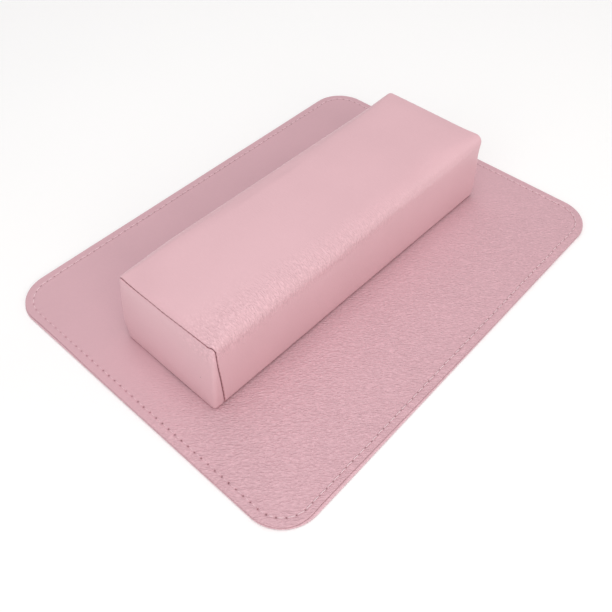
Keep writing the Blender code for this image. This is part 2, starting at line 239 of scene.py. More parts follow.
# Mat
def rim_path():
    """Points spaced evenly along the stitch line, a whole number of stitches long. Each is a
    point of the rectangle through the corner arcs' centres, and the way out from there."""
    arc = math.radians(90) * (CORNER_RADIUS - STITCH_INSET)
    half = np.array([MAT_LENGTH, MAT_WIDTH]) / 2 - CORNER_RADIUS
    corners = [half * sides for sides in ((1, 1), (-1, 1), (-1, -1), (1, -1), (1, 1))]
    travelled, angles, centres = [0.0], [0.0], [corners[0]]
    for k in range(4):
        straight = np.linalg.norm(corners[k + 1] - corners[k])
        travelled += [travelled[-1] + arc, travelled[-1] + arc + straight]
        angles += [math.radians(90) * (k + 1)] * 2
        centres += [corners[k], corners[k + 1]]
    stitches = round(travelled[-1] / STITCH_PITCH)
    count = stitches * STEPS_PER_STITCH
    along = np.arange(count) / count * travelled[-1]
    angle = np.interp(along, travelled, angles)
    centres = np.array(centres)
    core = np.stack([np.interp(along, travelled, centres[:, k]) for k in (0, 1)], axis=-1)
    return core, np.stack([np.cos(angle), np.sin(angle)], axis=-1), stitches


RIM_CORE, RIM_OUT, STITCHES = rim_path()
RIM_STEPS = len(RIM_CORE)
FACING_LEFT = np.clip(-RIM_OUT[::STEPS_PER_STITCH, 0], 0, 1)
FACING_FRONT = np.clip(-RIM_OUT[::STEPS_PER_STITCH, 1], 0, 1)
NEAR_CORNER = np.clip(0.5 - RIM_CORE[::STEPS_PER_STITCH, 1] / MAT_WIDTH * 1.3, 0, 1)
# The stitches are drawn in hardest along the near end, and most towards its front corner
PULL = 0.38 + FACING_LEFT * (0.15 + 0.8 * NEAR_CORNER)
HOLE_STRENGTH = RANDOM.uniform(0.75, 1.2, STITCHES) * PULL
STITCH_WANDER = RANDOM.normal(0.0, 0.12 * MM, STITCHES)
STITCH_SINK = (0.60 * FACING_LEFT - 0.12 * FACING_FRONT) * MM
# At each step round the rim: the stitch it is at, its distance from a hole, and that hole's pull
RIM_STITCH = np.arange(RIM_STEPS) / STEPS_PER_STITCH
FROM_HOLE = np.abs(RIM_STITCH - np.rint(RIM_STITCH)) * STITCH_PITCH
NEAREST_HOLE = HOLE_STRENGTH[np.rint(RIM_STITCH).astype(int) % STITCHES]


def rim_ring(inset):
    return RIM_CORE + (CORNER_RADIUS - inset)[:, None] * RIM_OUT


def mat_wave(flat):
    """The height of the slow waves of a sheet that doesn't lie quite flat."""
    places = raised(flat, 0.0)
    slow = noise_at(places, 110 * MM, 1) + 0.4 * noise_at(places, 45 * MM, 2)
    return MAT_WAVE * np.clip(0.5 + 0.5 * slow, 0, None)


def strip_shown():
    """How much of the lower sheet's edge shows beside the upper sheet's, round the rim, 0 to 1:
    most along the front from the corner, and a little along the near end's left part."""
    x, y = rim_ring(np.zeros(RIM_STEPS)).T
    at_front = y < -MAT_WIDTH / 2 + 4 * MM
    front = at_front * np.clip((STRIP_START - x) / STRIP_GROWTH, 0, 1) ** 1.3
    front *= np.clip((x - STRIP_STOP) / (14 * MM), 0, 1)
    left = STRIP_LEFT_SHARE * (x < -MAT_LENGTH / 2 + 4 * MM) * hump(y - STRIP_LEFT, 42 * MM)
    shown = np.maximum(front, left)
    window = np.hanning(41)
    padded = np.concatenate([shown[-20:], shown, shown[:20]])
    return np.convolve(padded, window / window.sum(), mode="valid")


def stitch_relief(inset):
    """How far the stitches push a sheet's face in or out, for one inset all round the rim."""
    looped = np.append(STITCH_WANDER, STITCH_WANDER[0])
    across = inset - STITCH_INSET - np.interp(RIM_STITCH, np.arange(STITCHES + 1), looped)
    between = 0.5 - 0.5 * np.cos(2 * math.pi * RIM_STITCH)
    seat = SEAT_DEPTH * hump(across, 0.8 * MM)
    hole = HOLE_DEPTH * hump(across, 0.6 * MM) * hump(FROM_HOLE, 0.75 * MM) * NEAREST_HOLE
    beside = SWELL_HEIGHT * hump(np.abs(across) - 2.0 * MM, 1.1 * MM) * (0.15 + 0.85 * between)
    return beside - seat - hole


def hole_painted_shade(inset):
    """The painted shade in the holes round the stitches, 0 to 1, for one inset."""
    painted_shade = hump(inset - STITCH_INSET, 0.48 * MM) * hump(FROM_HOLE, 0.60 * MM) * NEAREST_HOLE
    return np.clip(painted_shade, 0, 1)


def edge_rows(edge, face_insets, free_shares, reach):
    """The insets of a face's rows, from its cut edge inwards: first shares of the way from the
    edge to reach, then the fixed insets."""
    start = edge + SHEET_ROUNDING
    rows = [start + share * (reach - start) for share in free_shares]
    return rows + [np.full(RIM_STEPS, inset) for inset in face_insets]


def fill(builder, border, outline, spacing, place):
    """Fills a convex loop with near-equal triangles. outline has the loop's flat places, one
    for each point number in border, and place(flat) gives the points inside it."""
    low, high = outline.min(axis=0), outline.max(axis=0)
    rows = []
    for j, v in enumerate(np.arange(low[1], high[1], spacing * math.sqrt(3) / 2)):
        u = np.arange(low[0], high[0], spacing) + (j % 2) * spacing / 2
        rows.append(np.stack([u, np.full_like(u, v)], axis=-1))
    lattice = np.concatenate(rows)
    corners = outline[:: max(1, len(outline) // 120)]
    ahead = np.roll(corners, -1, axis=0) - corners
    ahead /= np.linalg.norm(ahead, axis=1)[:, None]
    area = np.cross(corners, np.roll(corners, -1, axis=0)).sum()
    inwards = np.stack([-ahead[:, 1], ahead[:, 0]], axis=-1) * np.sign(area)
    depth = (lattice @ inwards.T - (corners * inwards).sum(axis=1)).min(axis=1)
    lattice = lattice[depth > 0.6 * spacing]
    count = len(border)
    loop = [(k, (k + 1) % count) for k in range(count)]
    flat = [Vector(p) for p in np.concatenate([outline, lattice])]
    places, _, triangles, origins, _, _ = geometry.delaunay_2d_cdt(flat, loop, [], 1, 1e-7)
    numbers = np.concatenate([border, builder.add(place(lattice))])
    found = [int(numbers[origin[0]]) for origin in origins if origin]
    if len(found) != len(places):
        raise ValueError("the loop to fill crosses itself")
    return [[found[k] for k in triangle] for triangle in triangles]


def make_mat_sheet(name, material, node, slot, edge, floor, roof, below, above):
    """A sheet of the mat: rows of points round its rim, from the middle of its lower face out
    to its cut edge and back in over its upper face, and both faces' middles filled."""
    builder = Builder()
    is_upper = name == "mat_upper_sheet"
    lift = EDGE_LIFT * STRIP * is_upper

    def row(inset, level, relief):
        flat = rim_ring(inset)
        return raised(flat, level + mat_wave(flat) + relief + lift * hump(inset - edge, 3.2 * MM))

    rows = []
    # Painted shade for each row: on the lower faces, on the upper sheet's cut edge and in its stitch
    # holes
    painted_shade = []
    for inset in edge_rows(edge, **below["rows"])[::-1]:
        rows.append(row(inset, floor, below["relief"](inset)))
        painted_shade.append(np.full(RIM_STEPS, LOWER_FACE_PAINTED_SHADE))
    for level, angles in ((floor + SHEET_ROUNDING, (-45, 0)), (roof - SHEET_ROUNDING, (0, 45))):
        for degrees in angles:
            angle = math.radians(degrees)
            inset = edge + SHEET_ROUNDING * (1 - math.cos(angle))
            rows.append(row(inset, level + SHEET_ROUNDING * math.sin(angle), 0.0))
            painted_shade.append(np.full(RIM_STEPS, is_upper * UPPER_EDGE_PAINTED_SHADE[degrees]))
    for inset in edge_rows(edge, **above["rows"]):
        rows.append(row(inset, roof, above["relief"](inset)))
        painted_shade.append(is_upper * hole_painted_shade(inset))
    numbers = builder.add(np.array(rows), np.array(painted_shade))
    builder.sheet(numbers[::-1], closed=True)
    for face, ring, level, turned in ((below, 0, floor, True), (above, -1, roof, False)):

        def place(flat):
            return raised(flat, level + mat_wave(flat))

        outline = rows[ring][:, :2]
        made = fill(builder, numbers[ring], outline, face["spacing"], place)
        builder.faces += [f[::-1] for f in made] if turned else made
    return builder.piece(name, material, node, slot)


def underside_relief(inset):
    """The lower thread's dents, in the backing sheet's underside, which faces the other way."""
    return -0.8 * stitch_relief(inset).clip(None, 0)


STITCHED_ROWS = [k * MM for k in (5, 5.5, 5.9, 6.2, 6.5, 6.8, 7.1, 7.4, 7.7, 8.1, 8.6, 9.3, 10.2, 11.4)]
PLAIN_ROWS = [k * MM for k in (6.8, 11.4)]
DENTED_ROWS = [k * MM for k in (5.2, 5.9, 6.4, 6.8, 7.2, 7.7, 8.4, 11.4)]
OUTER_SHARES = (0.0, 0.12, 0.3, 0.6, 1.0)
LOWER_FACE_PAINTED_SHADE = 0.7       # painted shade on both sheets' lower faces, round the rim, in the gap between them
UPPER_EDGE_PAINTED_SHADE = {-45: 0.8, 0: 0.25, 45: 0.0}      # painted shade on the upper sheet's cut edge, by the way its rounding faces: the dark groove between the sheets
STRIP = strip_shown()


def make_mat(materials):
    def face(insets, shares, relief, spacing):
        rows = {"face_insets": insets, "free_shares": shares, "reach": 4.3 * MM}
        return {"rows": rows, "relief": relief, "spacing": spacing}

    fine = face(STITCHED_ROWS, OUTER_SHARES, stitch_relief, 1.9 * MM)
    plain = face(PLAIN_ROWS, (0.0, 1.0), np.zeros_like, 9 * MM)
    dented = face(DENTED_ROWS, (0.0, 0.5), underside_relief, 6 * MM)
    edge_noise = noise_at(raised(rim_ring(np.zeros(RIM_STEPS)), 0.0), 25 * MM, 4)
    edge = UPPER_INSET + STRIP_WIDTH * STRIP + 0.08 * MM * edge_noise
    piece = "mat_upper_sheet", materials["mat"], "mat_top_sheet", "mat_leather"
    upper = make_mat_sheet(*piece, edge, TOP_LOW.z, TOP_HIGH.z, below=plain, above=fine)
    edge = LOWER_INSET + 0.05 * MM * edge_noise
    piece = "mat_lower_sheet", materials["backing"], "mat_backing_sheet", "backing_leather"
    lower = make_mat_sheet(*piece, edge, MAT_LOW.z, MAT_HIGH.z, below=dented, above=plain)


def strand(builder, line, radius, turns, sides=9, lobes=3):
    """A twisted thread along a line of points, with a ply for each lobe. Both its ends, where it goes
    down into a hole, get painted shade."""
    line = np.asarray(line)
    ahead = np.gradient(line, axis=0)
    ahead /= np.linalg.norm(ahead, axis=1)[:, None]
    level = np.cross(ahead, (0.0, 0.0, 1.0))
    level /= np.maximum(np.linalg.norm(level, axis=1), 1e-9)[:, None]
    upward = np.cross(level, ahead)
    share = np.linspace(0, 1, len(line))[:, None]
    angle = np.arange(sides)[None, :] * 2 * math.pi / sides
    reach = radius * (1 + 0.15 * np.cos(lobes * (angle - 2 * math.pi * turns * share)))
    ring = (reach * np.cos(angle))[..., None] * level[:, None, :]
    ring = ring + (reach * np.sin(angle))[..., None] * upward[:, None, :]
    painted_shade = np.clip(hump(share, 0.13) + hump(1 - share, 0.13), 0, 1) + 0 * angle
    numbers = builder.add(line[:, None, :] + ring, painted_shade)
    builder.sheet(numbers[::-1], closed=True)
    builder.cap(numbers[0][::-1])
    builder.cap(numbers[-1])


def make_mat_stitches(name, material, node, level, facing):
    """One thread over each stitch, from hole to hole. facing is 1 on top and -1 below."""
    builder = Builder()
    line = rim_ring(np.full(RIM_STEPS, STITCH_INSET))
    steps = np.arange(RIM_STEPS + STEPS_PER_STITCH) / STEPS_PER_STITCH
    looped = np.concatenate([line, line[:STEPS_PER_STITCH]])
    out = np.concatenate([RIM_OUT, RIM_OUT[:STEPS_PER_STITCH]])
    shares = np.linspace(0.0, 1.0, 11)
    for k in range(STITCHES):
        at = k + shares
        flat = np.stack([np.interp(at, steps, looped[:, j]) for j in (0, 1)], axis=-1)
        outward = np.stack([np.interp(at, steps, out[:, j]) for j in (0, 1)], axis=-1)
        wander = np.interp(shares, (0, 1), (STITCH_WANDER[k], STITCH_WANDER[(k + 1) % STITCHES]))
        slant = facing * STITCH_SLANT * np.cos(math.pi * shares)
        flat = flat - outward * (wander + slant)[:, None]
        rise = STITCH_RISE * np.sin(math.pi * shares) ** 0.6
        z = level + mat_wave(flat) + facing * (rise - STITCH_DIP - STITCH_SINK[k])
        strand(builder, raised(flat, z), THREAD_RADIUS, turns=2.2)
    builder.piece(name, material, node, "mat_thread")


# Form of the pillow
def middle(x):
    """1 at the pillow's mid-length, 0 at its ends."""
    return np.clip(1 - (2 * x / LENGTH) ** 2, 0, 1)


def front_lean(x):
    """How far the front's top edge stands in from its foot: most towards the far end, and least
    near the other."""
    least = 0.4 * hump(x + 135 * MM, 40 * MM)
    return FRONT_LEAN + FAR_LEAN * (hump(x - FAR_LEAN_PLACE, 52 * MM) - least)


def arch(x, c):
    """The cover's section at x: y, z and the way out (ny, nz). c runs from -3 at the front's
    foot, by -2 and -1 at the front fold and 1 and 2 at the back fold, to 3 at the back's foot,
    and on from 3 to 5 back across the underside."""
    side = np.where(c > 3, np.sign(4 - c), np.sign(c))
    a = np.abs(c)
    front = FRONT_FOLD_RADIUS + FAR_FOLD_SOFTNESS * hump(x - FAR_FOLD_PLACE, 48 * MM)
    full = np.where(side < 0, front, BACK_FOLD_RADIUS)
    easing = ease((LENGTH / 2 - np.abs(x)) / FOLD_REACH)
    at_end = np.where((side < 0) & (x > 0), FAR_CORNER_RADIUS, FOLD_RADIUS_END)
    radius = at_end + (full - at_end) * easing
    fold = np.clip(2 - a, 0, 1) * math.pi / 2
    y = WIDTH / 2 - radius * (1 - np.cos(fold))
    up = np.clip(3 - a, 0, 1) * (HEIGHT - radius)
    z = up + radius * np.sin(fold) + TOP_CROWN * (1 - np.minimum(a, 1) ** 2) * middle(x)
    y = np.where(a < 1, a * (WIDTH / 2 - radius), y)
    ny, nz = np.cos(fold), np.sin(fold)

    across = WIDTH / 2 * np.abs(4 - c)
    from_corner = np.where(c > 3, across - WIDTH / 2, up)
    turn = np.clip(1 + from_corner / FOOT_ROUNDING, 0, 2) * math.pi / 4
    foot = from_corner < FOOT_ROUNDING
    y = np.where(foot, WIDTH / 2 - FOOT_ROUNDING * (1 - np.sin(turn)), y)
    z = np.where(foot, FOOT_ROUNDING * (1 - np.cos(turn)), z)
    y = np.where(from_corner < -FOOT_ROUNDING, across, y)
    y = y - FOOT_TUCK * middle(x) * (1 - np.clip(3 - a, 0, 1)) ** 2
    ny = np.where(foot, np.sin(turn), ny)
    nz = np.where(foot, -np.cos(turn), nz)
    y = side * y + front_lean(x) * (z / HEIGHT) ** 2 * np.where(c < 0, np.clip(-c, 0, 1), 0)
    return y, z, side * ny, nz


def end_x(end, y, z):
    """Where the plane of an end stands. The far one stands out at its front top corner and is
    pinched in below it."""
    x = LENGTH / 2 - LEAN[end] * z / HEIGHT
    if end == FAR:
        from_front = y + WIDTH / 2
        x = x - FAR_PINCH * hump(z - FAR_PINCH_HEIGHT, 9 * MM) * hump(from_front, 20 * MM)
        x = x + FAR_TOP_BULGE * hump(z - HEIGHT, 9 * MM) * hump(from_front, 14 * MM)
    return end * x


def rounding_at(c):
    """The rounding of an end's edge: tight along the underside, softest along the top."""
    tight = 0.85 * FOOT_ROUNDING
    soft = SIDE_ROUNDING + (END_ROUNDING - SIDE_ROUNDING) * ease((2.6 - np.abs(c)) / 0.6)
    return tight + (soft - tight) * ease((3 - np.abs(c)) / 0.35)


def around_end(end, w, c):
    """A point of the cover near an end. w is the distance from the end's edge: positive along
    the pillow, negative down the end's face towards its middle."""
    w = np.asarray(w, float)
    c = np.asarray(c, float)
    rounding = rounding_at(c)
    turn = np.clip(1 + w / rounding, 0, 2) * math.pi / 4
    along = np.where(w > rounding, w, rounding * (1 - np.cos(turn)))
    below = rounding * (1 - np.sin(turn))
    y, z, ny, nz = arch(end * LENGTH / 2 + 0 * w, c)
    x = end_x(end, y, z) - end * along
    y, z, ny, nz = arch(x, c)
    centre = HEIGHT / 2
    inwards = np.clip((-w - rounding) / (centre - rounding), 0, 1)
    y = (y - below * ny) * (1 - inwards)
    z = centre + (z - below * nz - centre) * (1 - inwards)
    return np.stack([end_x(end, y, z) - end * along, y, z], axis=-1)


def seam_line(end):
    """The end's seam line as values at each step of SECTION, with its corners eased."""
    places, shifts = np.array(SEAM_LINE[end]).T
    window = np.hanning(43)
    looped = np.interp(SECTION, places, shifts)
    padded = np.concatenate([looped[-22:-1], looped, looped[1:22]])
    return np.convolve(padded, window / window.sum(), mode="valid") * MM


SEAM_SHIFTS = {end: seam_line(end) for end in (NEAR, FAR)}


def seam_shift(end, w, c):
    """How far an end seam lies from the middle of its rounding, w from the seam."""
    return np.interp(c, SECTION, SEAM_SHIFTS[end]) * hump(w, SEAM_SHIFT_REACH)


def end_surface(end):
    return lambda w, c: around_end(end, w + seam_shift(end, w, c), c)


def wrap_length(c):
    """The wrap's length along the column c, from edge to edge."""
    y, z, _, _ = arch(0 * c + LENGTH / 2, c)
    return end_x(FAR, y, z) - end_x(NEAR, y, z)


def wrap_surface(w, c):
    """A point of the wrap, w from its near edge."""
    total = wrap_length(c)
    near = end_surface(NEAR)(w, c)
    far = end_surface(FAR)(total - w, c)
    return np.where((w < total / 2)[..., None], near, far)


def normals_of(surface, w, c):
    """The normals of a surface. They point out of the cover, but into it for the far end's
    surface, where w runs the other way."""
    step_w = 0.03 * MM
    step_c = 0.0008
    across = surface(w + step_w, c) - surface(w - step_w, c)
    along = surface(w, c + step_c) - surface(w, c - step_c)
    out = np.cross(across, along)
    return out / np.maximum(np.linalg.norm(out, axis=-1), 1e-15)[..., None]


# Cloth
def swell(points, pressure, limit):
    """Blows a grid of points up as cloth held at its border, and returns how far each point
    moved along its normal, eased off towards limit."""
    rows, columns = points.shape[:2]
    builder = Builder()
    numbers = builder.add(points)
    builder.sheet(numbers)
    cloth = builder.object("swelling", bpy.data.materials.new("swelling"))
    held = cloth.vertex_groups.new(name="held")
    border = np.zeros((rows, columns), bool)
    border[[0, -1], :] = True
    border[:, [0, -1]] = True
    held.add(numbers[border].tolist(), 1.0, "REPLACE")
    modifier = cloth.modifiers.new("cloth", "CLOTH")
    settings = modifier.settings
    settings.quality = 6
    settings.mass = 0.3
    settings.tension_stiffness = 25
    settings.compression_stiffness = 25
    settings.shear_stiffness = 12
    settings.bending_stiffness = 6
    settings.shrink_min = -0.003
    settings.vertex_group_mass = "held"
    settings.use_pressure = True
    settings.uniform_pressure_force = pressure
    settings.effector_weights.gravity = 0
    modifier.point_cache.frame_start = 1
    modifier.point_cache.frame_end = CLOTH_FRAMES
    for number in range(1, CLOTH_FRAMES + 1):
        bpy.context.scene.frame_set(number)
    graph = bpy.context.evaluated_depsgraph_get()
    moved = np.array([v.co for v in cloth.evaluated_get(graph).data.vertices])
    bpy.data.objects.remove(cloth)
    bpy.context.scene.frame_set(1)
    moved = moved.reshape(points.shape)
    out = np.cross(np.gradient(points, axis=0), np.gradient(points, axis=1))
    out /= np.linalg.norm(out, axis=-1)[..., None]
    risen = ((moved - points) * out).sum(axis=-1)
    for _ in range(4):
        risen[1:-1] = 0.5 * risen[1:-1] + 0.25 * (risen[:-2] + risen[2:])
        risen[:, 1:-1] = 0.5 * risen[:, 1:-1] + 0.25 * (risen[:, :-2] + risen[:, 2:])
    return limit * np.tanh(np.clip(risen, -0.2 * limit, None) / limit)


def cubic_weights(places, count):
    """The share that each of count evenly spaced values has at each place, from 0 to count - 1."""
    places = np.asarray(places, float)
    first = np.clip(np.floor(places).astype(int), 0, count - 2)
    t = places - first
    shares = (
        -0.5 * t + t**2 - 0.5 * t**3,
        1 - 2.5 * t**2 + 1.5 * t**3,
        0.5 * t + 2 * t**2 - 1.5 * t**3,
        -0.5 * t**2 + 0.5 * t**3,
    )
    weights = np.zeros((len(places), count))
    for shift, share in zip((-1, 0, 1, 2), shares):
        np.add.at(weights, (np.arange(len(places)), np.clip(first + shift, 0, count - 1)), share)
    return weights


# Cover panels
def lip_steps():
    """How a panel turns into a seam: pairs of the distance from the seam and the height over
    the panel's face, from deep in the seam out to the face."""
    steps = [(SLIT_HALF, -LIP_RADIUS - ALLOWANCE), (SLIT_HALF, -LIP_RADIUS - 1.2 * MM)]
    for angle in np.radians([0, 18, 36, 54, 72, 90]):
        away = SLIT_HALF + LIP_RADIUS * (1 - math.cos(angle))
        steps.append((away, LIP_RADIUS * (math.sin(angle) - 1)))
    return steps


LIP = lip_steps()
SLIT_STEPS = 2
LIP_END = LIP[-1][0]
ARCH_SIDE_STEPS = 37
ARCH_FOLD_STEPS = 14
ARCH_TOP_STEPS = 56
WRAP_BODY_ROWS = 212            # of the wrap between the rows beside its two end seams


def rows_from_seam(*beyond):
    """A panel's rows inwards from a seam: their distances from it, which are the lip's and then
    beyond, and their heights over the panel's face."""
    away = [w for w, _ in LIP] + list(beyond)
    return np.array(away), np.array([n for _, n in LIP] + [0.0] * len(beyond))


def side_columns():
    """The c of the columns up the front above its lip, up to the top's edge."""
    first = 3 - LIP_END / SIDE_RISE
    side = -np.linspace(first, 2, ARCH_SIDE_STEPS)
    fold = -np.linspace(2, 1, ARCH_FOLD_STEPS)[1:]
    return np.concatenate([side, fold])


def arch_columns():
    """The c of all the columns over the cover's arch, between the lips at its feet."""
    rising = side_columns()
    top = np.linspace(-1, 1, ARCH_TOP_STEPS)[1:-1]
    return np.concatenate([rising, top, -rising[::-1]])


def ridge(w):
    """The slight ridge that a panel makes beside its seam."""
    return 0.09 * MM * hump(w - 2.2 * MM, 1.3 * MM)


def seam_painted_shade(w, along):
    """The painted shade on a panel beside its seam, w from it, darkest at each stitch hole."""
    return hump(w, 0.58 * MM) * (0.78 + 0.22 * np.cos(2 * math.pi * along / SEAM_PITCH))


def seam_puckers(w, along, seed):
    """The small gathers that the stitches of a seam draw into the panels beside it."""
    phase = 2 * math.pi * along / SEAM_PITCH
    strength = 0.7 + 0.3 * np.sin(phase * 0.173 + seed) * np.sin(phase * 0.071 + 2 * seed)
    near = 0.10 * hump(w - 1.0 * MM, 1.4 * MM) * np.cos(phase)
    far = 0.04 * hump(w - 3.5 * MM, 3.0 * MM) * np.cos(phase / 2 + seed)
    return MM * strength * (near + far)


def arch_travel(c):
    """The distance round the section at an end, from the front's foot."""
    y, z, _, _ = arch(np.full_like(SECTION, -LENGTH / 2), SECTION)
    steps = np.hypot(np.diff(y), np.diff(z))
    return np.interp(c, SECTION, np.concatenate([[0], np.cumsum(steps)]))


def cover_wrinkles(points):
    """The slight unevenness of a panel's face."""
    return MM * (0.05 * noise_at(points, 11 * MM, 11) + 0.14 * noise_at(points, 42 * MM, 12))


def round_back_corner(points):
    """Rounds the near end's back corner, as seen from above, more and more towards its foot."""
    x, y, z = np.moveaxis(np.array(points), -1, 0)
    radius = np.maximum(BACK_CORNER_ROUNDING * ease(1 - z / BACK_CORNER_RISE), 1e-6)
    a = np.clip(1 - (x - end_x(NEAR, y, z)) / radius, 0, None)
    b = np.clip(1 - (WIDTH / 2 - y) / radius, 0, None)
    share = np.where((a > 0) & (b > 0), np.maximum(a, b) / np.maximum(np.hypot(a, b), 1e-9), 1)
    return np.stack([x + a * (1 - share) * radius, y - b * (1 - share) * radius, z], axis=-1)


def sink_back_corner(points):
    """Lets the top sink towards the near end's back corner."""
    x, y, z = np.moveaxis(np.array(points), -1, 0)
    droop = hump(x + LENGTH / 2, 34 * MM) * hump(WIDTH / 2 - y, 30 * MM)
    height = np.clip(z / HEIGHT, 0, 1)
    return np.stack([x, y, z - BACK_CORNER_DROOP * droop * height**3], axis=-1)


def to_mat(points):
    """From the pillow's axes to the frame's."""
    turn = np.array(Matrix.Rotation(PILLOW_TURN, 3, "Z"))
    return sink_back_corner(round_back_corner(points)) @ turn.T + np.array(PILLOW_PLACE)


def finish_panel(builder, name, material, node, slot):
    """Makes a panel's object and gives the fabric its thickness."""
    made = builder.piece(name, material, node, slot)
    thick = made.modifiers.new("thickness", "SOLIDIFY")
    thick.thickness = COVER_THICKNESS
    thick.offset = -1


def wrap_swell(w, c):
    """How far the wrap is blown out at each w and c, from a coarse grid of cloth."""
    rows, columns = 72, 52
    body = arch_columns()
    coarse_c = np.interp(np.linspace(0, 1, columns), np.linspace(0, 1, len(body)), body)
    coarse_w = np.linspace(0, 1, rows)[:, None] * wrap_length(coarse_c)[None, :]
    coarse = wrap_surface(coarse_w, np.broadcast_to(coarse_c, coarse_w.shape))
    risen = swell(coarse, SWELL_PRESSURE, WRAP_SWELL)
    at_row = np.clip(w.mean(axis=1) / wrap_length(c).mean(), 0, 1) * (rows - 1)
    at_column = np.interp(c, coarse_c, np.arange(columns))
    return cubic_weights(at_row, rows) @ risen @ cubic_weights(at_column, columns).T


def make_wrap(material):
    """The panel over the front, the top and the back. Its rows run round the arch from foot to
    foot, one after another from the near end's seam to the far end's."""
    near_rows, profile = rows_from_seam(*np.arange(LIP_END + 0.7 * MM, 12 * MM, 0.9 * MM))
    c_body = arch_columns()
    lip_c = np.array([3 - w / SIDE_RISE for w, _ in LIP[:-1]])
    lip_n = np.array([n for _, n in LIP[:-1]])
    c = np.concatenate([-lip_c, c_body, lip_c[::-1]])
    column_n = np.concatenate([lip_n, np.zeros(len(c_body)), lip_n[::-1]])
    foot = np.clip(3 - np.abs(c), 0, 1) * SIDE_RISE

    total = wrap_length(c)
    reach = near_rows[-1]
    rows = [np.full(len(c), w) for w in near_rows]
    for share in np.linspace(0, 1, WRAP_BODY_ROWS)[1:-1]:
        rows.append(reach + share * (total - 2 * reach))
    rows += [total - w for w in near_rows[::-1]]
    w = np.array(rows)
    row_n = np.concatenate([profile, np.zeros(WRAP_BODY_ROWS - 2), profile[::-1]])
    grid_c = np.broadcast_to(c, w.shape)

    base = wrap_surface(w, grid_c)
    out = normals_of(wrap_surface, w, grid_c)
    nearest = np.minimum(w, total - w)
    round_section = np.broadcast_to(arch_travel(c), w.shape)
    lengthwise = base[..., 0]
    n = row_n[:, None] + column_n[None, :]
    n = n + ridge(nearest) + ridge(foot)[None, :] * 0.6
    on_face = ease(nearest / (4 * MM)) * ease(foot / (4 * MM))[None, :]
    firm = 1 - 0.75 * ease(np.abs(c) - 0.7)
    risen = wrap_swell(w, c) * ease(nearest / (16 * MM)) * firm[None, :]
    n = n + seam_puckers(nearest, round_section, 1.0)
    n = n + seam_puckers(foot[None, :] + 0 * w, lengthwise, 2.0)
    n = n + on_face * (risen + cover_wrinkles(base))
    points = base + n[..., None] * out
    # Painted shade along the end seams, and a painted contact shadow along the foot
    painted_shade = seam_painted_shade(nearest, round_section)
    painted_shade = np.maximum(painted_shade, hump(foot, FOOT_SHADE_REACH)[None, :])

    builder = Builder()
    numbers = builder.add(to_mat(points), painted_shade)
    deep_row = np.minimum(np.arange(len(w) - 1), np.arange(len(w) - 1)[::-1])
    deep_column = np.minimum(np.arange(len(c) - 1), np.arange(len(c) - 1)[::-1])
    last = len(LIP) - 1
    corner = (deep_row[:, None] < SLIT_STEPS) & (deep_column[None, :] < last)
    corner |= (deep_row[:, None] < last) & (deep_column[None, :] < SLIT_STEPS)
    builder.sheet(numbers, kept=~corner)
    finish_panel(builder, "cover_wrap", material, "pillow_wrap", "cover_leather")


def end_loop():
    """The c of an end panel's columns: over the arch, then back across the underside."""
    foot = np.array([-3 + w / SIDE_RISE for w in (0.0, 0.5 * MM, 1.0 * MM)])
    under = 3 + np.linspace(0, 2, 62)[1:-1]
    return np.concatenate([foot, arch_columns()[1:-1], -foot[::-1], under])


def end_swell(end):
    """How far the cover of an end is blown out, as a function of places (y, z) on it."""
    columns, rows = 26, 17
    grid_y, grid_z = np.meshgrid(
        np.linspace(-WIDTH / 2, WIDTH / 2, columns), np.linspace(0, HEIGHT, rows), indexing="ij"
    )
    grid = np.stack([end_x(end, grid_y, grid_z), grid_y, grid_z], axis=-1)
    risen = swell(grid[::end], SWELL_PRESSURE, END_SWELL)[::end]

    def at(y, z):
        across = cubic_weights((y.ravel() / WIDTH + 0.5).clip(0, 1) * (columns - 1), columns)
        up = cubic_weights((z.ravel() / HEIGHT).clip(0, 1) * (rows - 1), rows)
        border = np.minimum(WIDTH / 2 - np.abs(y), np.minimum(z, HEIGHT - z))
        return np.einsum("ki,ij,kj->k", across, risen, up).reshape(y.shape) * ease(border / (14 * MM))

    return at


def make_end(end, name, material, node):
    """An end panel: loops of points from deep in its seam in over its border, then its middle."""
    c = end_loop()
    rings, profile = rows_from_seam(*np.arange(LIP_END + 0.6 * MM, 9 * MM, 0.9 * MM))
    w = -rings[:, None] + 0 * c[None, :]
    grid_c = np.broadcast_to(c, w.shape)
    surface = end_surface(end)
    base = surface(w, grid_c)
    out = -end * normals_of(surface, w, grid_c)
    swollen = end_swell(end)

    travel = np.broadcast_to(arch_travel(c), w.shape)
    n = profile[:, None] + ridge(-w) + seam_puckers(-w, travel, 3.0)
    n = n + ease(-w / (4 * MM)) * (swollen(base[..., 1], base[..., 2]) + cover_wrinkles(base))
    points = base + n[..., None] * out

    def middle_of_face(flat):
        y, z = flat.T
        face = np.stack([end_x(end, y, z), y, z], axis=-1)
        away = np.array([end, 0.0, LEAN[end] / HEIGHT])
        risen = swollen(y, z) + cover_wrinkles(face)
        return to_mat(face + risen[:, None] * away / np.linalg.norm(away))

    # Painted contact shadow along the foot, added to the painted shade beside the seam
    foot_shade = np.where(np.abs(grid_c) > 2.99, hump(w, FOOT_SHADE_REACH), 0.0)
    builder = Builder()
    numbers = builder.add(to_mat(points), np.maximum(seam_painted_shade(-w, travel), foot_shade))
    triangles = fill(builder, numbers[-1], points[-1][:, 1:], 1.8 * MM, middle_of_face)
    builder.sheet(numbers[::end], closed=True)
    builder.faces += [triangle[::end] for triangle in triangles]
    finish_panel(builder, name, material, node, "end_leather")


